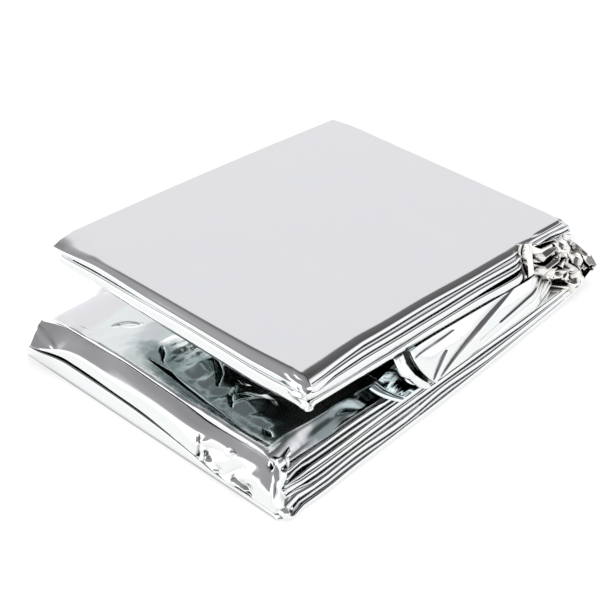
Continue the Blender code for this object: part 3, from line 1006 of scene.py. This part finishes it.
# Crumples along the run: how deep the large and the small ones are.
GATHER_CRUSH = table(("run", "large", "small"), (
    (0.0, 0.0, 0.0), (4.0, 0.1, 0.05), (12.0, 0.2, 0.15), (15.0, 1.5, 1.0),
    (24.0, 1.9, 1.1), (29.0, 0.8, 0.5), (34.0, 0.1, 0.1), (48.0, 0.8, 0.3)))
GATHER_CREASES = (
    # run along the corner and distance down it, of both ends; bow, half width, rise
    (0.8, -2.0, 1.3, 12.0, 0.4, 0.8, -2.6),
    (3.2, -2.0, 3.6, 10.6, -0.3, 1.0, -3.4),
    (4.0, 0.6, 13.4, 0.5, 0.0, 0.9, -2.6),
    (4.4, 4.0, 13.4, 2.4, 0.6, 1.5, 1.3),
    (4.8, 7.6, 14.4, 5.9, 0.5, 1.7, 1.5),
    (4.4, 5.9, 13.8, 4.3, 0.6, 0.7, -1.6),
    (16.2, 1.0, 18.0, 4.4, 0.2, 0.8, -2.8),
    (12.8, 5.4, 17.6, 10.4, 0.3, 0.8, -2.6),
    (20.6, 5.2, 27.0, 9.8, 0.5, 0.9, -2.8),
    (26.4, 2.4, 33.0, 5.0, 0.3, 0.8, -2.4),
    (12.6, 1.0, 15.4, 7.8, 0.0, 0.9, -2.4),
    (14.6, 0.0, 19.4, 8.0, -0.6, 0.9, 1.5),
    (17.4, -0.8, 20.2, 6.0, 0.0, 0.9, -2.6),
    (21.0, 0.0, 24.8, 3.2, 0.0, 0.9, -2.6),
    (10.2, 7.4, 19.6, 7.0, 0.6, 0.9, -2.4),
    (19.4, 8.2, 22.2, 13.4, 0.4, 1.0, -2.6),
    (8.6, 8.9, 23.4, 16.2, 1.0, 1.3, -3.4),
    (8.0, 10.6, 22.6, 16.6, -0.4, 1.0, -2.4),
    (13.6, 9.4, 22.0, 11.4, 0.4, 0.9, 1.6),
    (23.6, 15.0, 32.8, 3.6, 0.0, 0.9, -2.2),
    (24.6, 3.8, 31.0, 1.6, 0.0, 1.8, 0.9),
)


def gather_grid():
    run = np.linspace(0.0, GATHER["run"][-1], GATHER_GRID[0] + 1)[:, None]

    def place(edge):
        return np.stack([np.interp(run[:, 0], GATHER["run"], GATHER[f"{edge}_{axis}"])
                         for axis in "xyz"], axis=-1)

    top, low = place("top"), place("low")
    deep = np.linalg.norm(low - top, axis=1)[:, None]
    share = np.linspace(0.0, 1.0, GATHER_GRID[1] + 1)[None, :]
    grid = top[:, None] * (1 - share[..., None]) + low[:, None] * share[..., None]
    down = share * deep
    from_top, from_low = GATHER_EDGES
    fade = smooth(0.0, from_top, down) * smooth(0.0, from_low, deep - down)
    relief = sum(np.interp(run, GATHER_CRUSH["run"], GATHER_CRUSH[kind])
                 * crumple(run, down, wide, seed)
                 for kind, (wide, seed) in zip(("large", "small"), GATHER_LUMPS)) * fade
    relief += creased(run, down, GATHER_CREASES)
    proud, width = GATHER_STRAP
    rise, fall = STRAP_EDGES
    relief += proud * smooth(0.0, rise, run) * (1 - smooth(width - fall, width + fall, run))
    grid = pushed(grid, relief, (0.2, -1, 0.3))
    down_turn, in_turn = GATHER_HEM
    hem = [grid[:, -1] + np.array((0.0, in_turn * part, -down_turn * math.sin(part * math.pi)))
           for part in HEM_PARTS]
    return np.concatenate([grid, np.stack(hem, axis=1)], axis=1)


# ------------------------------------------------------------------ finish
def operator(operation, swapped=False):
    """A Value's operator, which puts a maths node into its graph."""
    def made(self, other):
        pair = (other, self) if swapped else (self, other)
        node = self.graph.tree.nodes.new("ShaderNodeMath")
        node.operation = operation
        for socket, given in zip(node.inputs, pair):
            self.graph.feed(socket, given)
        return Value(self.graph, node.outputs["Value"])
    return made


class Value:
    """A number on its way through a node tree."""

    def __init__(self, graph, socket):
        self.graph = graph
        self.socket = socket

    __add__, __radd__ = operator("ADD"), operator("ADD", swapped=True)
    __sub__, __rsub__ = operator("SUBTRACT"), operator("SUBTRACT", swapped=True)
    __mul__, __rmul__ = operator("MULTIPLY"), operator("MULTIPLY", swapped=True)
    __truediv__ = operator("DIVIDE")


COLOUR_INPUTS = (6, 7)          # a Mix node's sockets for colours
COLOUR_OUTPUT = 2


class Graph:
    """A node tree, built from its values."""

    def __init__(self, tree):
        self.tree = tree
        tree.nodes.clear()

    def feed(self, socket, given):
        if isinstance(given, Value):
            self.tree.links.new(given.socket, socket)
        else:
            socket.default_value = given

    def node(self, kind, settings=None, **inputs):
        """A node's outputs by name, its settings and inputs given by name."""
        made = self.tree.nodes.new(kind)
        for key, setting in (settings or {}).items():
            setattr(made, key, setting)
        for key, given in inputs.items():
            self.feed(made.inputs[key.replace("_", " ")], given)
        return {out.name: Value(self, out) for out in made.outputs}

    def ramp(self, value, stops):
        made = self.tree.nodes.new("ShaderNodeValToRGB")
        self.feed(made.inputs["Fac"], value)
        elements = made.color_ramp.elements
        while len(elements) < len(stops):
            elements.new(0.5)
        for element, (place, bright) in zip(elements, stops):
            element.position = place
            element.color = (bright, bright, bright, 1.0)
        return Value(self, made.outputs["Color"])

    def clamped(self, value):
        return self.node("ShaderNodeClamp", Value=value)["Result"]

    def tinted(self, colour, by):
        """A colour times another colour or a number."""
        made = self.tree.nodes.new("ShaderNodeVectorMath")
        made.operation = "MULTIPLY"
        for socket, given in zip(made.inputs, (colour, by)):
            self.feed(socket, given)
        return Value(self, made.outputs["Vector"])

    def noise(self, place, size, detail=2.0):
        """Uneven values about 0.5, in lumps of the given size in millimetres."""
        return self.node("ShaderNodeTexNoise", Vector=place, Scale=1 / (size * MM),
                         Detail=detail)["Fac"]

    def blend(self, share, first, second):
        made = self.tree.nodes.new("ShaderNodeMix")
        made.data_type = "RGBA"
        self.feed(made.inputs["Factor"], share)
        for socket, colour in zip(COLOUR_INPUTS, (first, second)):
            self.feed(made.inputs[socket], (*colour, 1.0))
        return Value(self, made.outputs[COLOUR_OUTPUT])

    def shaded_patch(self, place):
        """1 in the patches of painted shade, 0 away from there, with an uneven edge."""
        shares = []
        for centre, reach in SHADED_PATCH["places"]:
            centre, reach = np.array(centre) + SHIFT, np.array(reach)
            held = self.node("ShaderNodeMapping", Vector=place, Location=tuple(-centre / reach),
                             Scale=tuple(1 / (reach * MM)))["Vector"]
            away = self.node("ShaderNodeVectorMath", {"operation": "LENGTH"}, Vector=held)["Value"]
            away = away + SHADED_PATCH["stray"] * (self.noise(place, SHADED_PATCH["lumps"]) - 0.5)
            shares.append(self.clamped((SHADED_PATCH["ends"] - away) / SHADED_PATCH["fade"]))
        return self.clamped(sum(shares[1:], shares[0]))


# Each finish's two tints and haze, and the painted shade in its tight creases, where ambient
# occlusion darkens the tint: how near the film must face itself, in millimetres, how open a
# place is when it starts to darken and when it is darkest, and how bright it is then.
FINISHES = {
    "metallised_film": dict(
        tints=((0.845, 0.885, 0.890), (0.875, 0.885, 0.870)), haze=0.05,
        near=1.0, from_open=0.48, to_open=0.10, bright=0.16),
    "wrapped_film": dict(
        tints=((0.845, 0.885, 0.890), (0.875, 0.885, 0.870)), haze=0.06,
        near=3.0, from_open=0.84, to_open=0.42, bright=0.06),
    "gathered_film": dict(
        tints=((0.870, 0.880, 0.860), (0.890, 0.868, 0.800)), haze=0.06,
        near=3.2, from_open=0.88, to_open=0.46, bright=0.03),
    "crushed_film": dict(
        tints=((0.850, 0.885, 0.888), (0.872, 0.885, 0.878)), haze=0.13,
        near=3.0, from_open=0.70, to_open=0.25, bright=0.10),
    "tucked_film": dict(
        tints=((0.700, 0.840, 0.850), (0.780, 0.860, 0.860)), haze=0.08,
        near=6.0, from_open=0.86, to_open=0.40, bright=0.06),
}
# Painted shade in patches of the crushed film that lie in the dark under the upper half, also
# made hazier there: how much of each colour it keeps, the haze it adds, where it ends and over
# what share of the reach it fades, how far and in what lumps that edge strays, and the centre
# and reach of each place.
SHADED_PATCH = dict(
    finish="crushed_film", kept=(0.36, 0.42, 0.42), haze=0.05, ends=1.1, fade=0.25,
    stray=0.5, lumps=5.0, places=(
        ((-53.0, -14.0, 14.5), (7.5, 29.0, 9.0)),
        ((-34.0, -44.6, 13.0), (17.0, 5.0, 6.0)),
    ))
# The lumps that a film's tint, haze and ripples come in, the haze's least share and its
# spread, and how strong and deep the ripples are.
TINT_LUMPS = 16.0
HAZE_LUMPS, HAZE_DETAIL, HAZE_LEAST, HAZE_SPREAD = 9.0, 4.0, 0.6, 0.8
RIPPLE_LUMPS, RIPPLE_DETAIL, RIPPLE_STRENGTH, RIPPLE_DEPTH = 2.2, 3.0, 0.05, 0.0002


def new_material(name):
    material = bpy.data.materials.new(name)
    material.use_nodes = True
    return material, Graph(material.node_tree)


def film_finish(name):
    """Coated film: a mirror with a faint tint, uneven haze and soft ripples, and painted shade in
    tight creases, where ambient occlusion darkens its tint."""
    material, graph = new_material(name)
    look = FINISHES[name]
    place = graph.node("ShaderNodeTexCoord")["Object"]
    tint = graph.blend(graph.noise(place, TINT_LUMPS), *look["tints"])
    # Painted shade: the tint darkens where ambient occlusion finds the film close about itself.
    is_open = graph.node("ShaderNodeAmbientOcclusion", {"samples": 8},
                         Distance=look["near"] * MM)["AO"]
    unshaded_share = graph.clamped((is_open - look["to_open"]) / (look["from_open"] - look["to_open"]))
    tint = graph.tinted(tint, look["bright"] + (1 - look["bright"]) * unshaded_share)
    uneven = graph.noise(place, HAZE_LUMPS, HAZE_DETAIL)
    rough = look["haze"] * (HAZE_LEAST + HAZE_SPREAD * uneven)
    # Painted shade: the crushed film is darkened, and made hazier, where it lies in the dark under
    # the upper half.
    if name == SHADED_PATCH["finish"]:
        shaded_patch = graph.shaded_patch(place)
        tint = graph.tinted(tint, graph.blend(shaded_patch, (1.0, 1.0, 1.0), SHADED_PATCH["kept"]))
        rough = rough + SHADED_PATCH["haze"] * shaded_patch
    bump = graph.node("ShaderNodeBump", Height=graph.noise(place, RIPPLE_LUMPS, RIPPLE_DETAIL),
                      Strength=RIPPLE_STRENGTH, Distance=RIPPLE_DEPTH)
    shader = graph.node("ShaderNodeBsdfPrincipled", Base_Color=tint, Roughness=rough,
                        Metallic=1.0, Normal=bump["Normal"])
    graph.node("ShaderNodeOutputMaterial", Surface=shader["BSDF"])
    return material


FLOOR = dict(reach=6.0, drop=0.0002, grey=0.16, glow=0.78)      # metres; brightness


def floor_finish():
    """A light table: it glows just short of white and takes a faint shadow."""
    material, graph = new_material("pale_floor")
    grey = FLOOR["grey"]
    shader = graph.node("ShaderNodeBsdfPrincipled", Base_Color=(grey, grey, grey, 1.0),
                        Roughness=1.0, Specular_IOR_Level=0.0,
                        Emission_Color=(1.0, 1.0, 1.0, 1.0), Emission_Strength=FLOOR["glow"])
    graph.node("ShaderNodeOutputMaterial", Surface=shader["BSDF"])
    return material


# ------------------------------------------------------------------ studio
# Two long soft boxes stand along the near and the far side, with a dark ceiling between
# them.  Brightness goes by how far up toward that ceiling a ray points.
PANELS = (
    # height less the share of the run across, brightness
    (-0.30, 1.25),
    (-0.02, 1.15),
    (0.05, 0.86),
    (0.30, 0.83),
    (0.36, 0.38),
    (0.43, 0.16),
    (0.70, 0.09),
    (1.00, 0.09),
)
PANEL_SPREAD = (0.50, 0.36)               # on the right and on the left
LEFT_WALL = (0.38, -0.05, 0.18, 0.40)     # X where it starts and is full; added, multiplied
PANEL_TINT = (1.02, 0.99, 1.03)
LAMP = dict(size=1.6, energy=36.0, place=(-0.1, -0.1, 1.5))


def studio():
    world = bpy.data.worlds.new("studio")
    bpy.context.scene.world = world
    world.use_nodes = True
    graph = Graph(world.node_tree)
    toward = graph.node("ShaderNodeTexCoord")["Generated"]
    split = graph.node("ShaderNodeSeparateXYZ", Vector=toward)
    spread = graph.node("ShaderNodeMath", {"operation": "ABSOLUTE"}, Value=split["Y"])["Value"]
    start, full, added, raised = LEFT_WALL
    left = graph.clamped((split["X"] - start) / (full - start))
    right_share, left_share = PANEL_SPREAD
    up = split["Z"] - spread * (right_share + (left_share - right_share) * left)
    low, high = PANELS[0][0], PANELS[-1][0]
    top = max(bright for _, bright in PANELS)
    ramp = graph.ramp((up - low) / (high - low),
                      [((at - low) / (high - low), bright / top) for at, bright in PANELS])
    bright = ramp * top * (1 + raised * left) + added * left
    sky = graph.node("ShaderNodeBackground", Color=graph.tinted(PANEL_TINT, bright))
    graph.node("ShaderNodeOutputWorld", Surface=sky["Background"])

    mesh = bpy.data.meshes.new("floor")
    size = FLOOR["reach"]
    mesh.from_pydata([(-size, -size, 0), (size, -size, 0), (size, size, 0), (-size, size, 0)],
                     [], [(0, 1, 2, 3)])
    floor = placed("floor", mesh)
    floor.location.z = -FLOOR["drop"]
    floor.data.materials.append(floor_finish())

    light = bpy.data.lights.new("soft_top", "AREA")
    light.shape = "DISK"
    light.size = LAMP["size"]
    light.energy = LAMP["energy"]
    lamp = placed("soft_top", light)
    lamp.location = LAMP["place"]
    lamp.visible_glossy = False


# Where the camera stands, from the packet: degrees, metres.
VIEW_AZIMUTH = -47.47
VIEW_HEIGHT = 37.09
VIEW_ROLL = -0.13
VIEW_DISTANCE = 0.4559
VIEW_TARGET = (0.85, 4.74, 5.07)
LENS = 91.85
SENSOR = 36.0


def camera():
    data = bpy.data.cameras.new("camera")
    data.lens = LENS
    data.sensor_width = SENSOR
    data.clip_start = 0.01
    eye = placed("camera", data)
    turn, height = math.radians(VIEW_AZIMUTH), math.radians(VIEW_HEIGHT)
    back = Vector((math.sin(turn) * math.cos(height), -math.cos(turn) * math.cos(height),
                   math.sin(height)))
    target = Vector((np.array(VIEW_TARGET) + SHIFT) * MM)
    right = (-back).cross(Vector((0, 0, 1))).normalized()
    up = right.cross(-back)
    roll = math.radians(VIEW_ROLL)
    right, up = (right * math.cos(roll) + up * math.sin(roll),
                 up * math.cos(roll) - right * math.sin(roll))
    axes = Matrix((right, up, back)).transposed()
    eye.matrix_world = Matrix.Translation(target + back * VIEW_DISTANCE) @ axes.to_4x4()
    bpy.context.scene.camera = eye


def dressed(thing, finish):
    face_outward(thing)
    thing.data.materials.append(finish)
    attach(thing, "root")
    return thing


def main():
    finish, wrapped, gathered, crushed, tucked = (film_finish(name) for name in FINISHES)
    leaves = dressed(closed_sheet("film_leaves", *strip_faces()), finish)
    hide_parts(NODE)
    dressed(film("fore_wrap", wrap_grid()), wrapped)
    dressed(film("crumpled_ply", ply_grid()), crushed)
    dressed(film("side_web", pulled_ply(WEB, WEB_CREASES)), wrapped)
    dressed(film("web_pleat", pulled_ply(PLEAT, PLEAT_CREASES)), tucked)
    dressed(film("corner_gather", gather_grid()), gathered)
    studio()
    camera()
    bpy.context.scene.view_settings.view_transform = "Standard"


main()
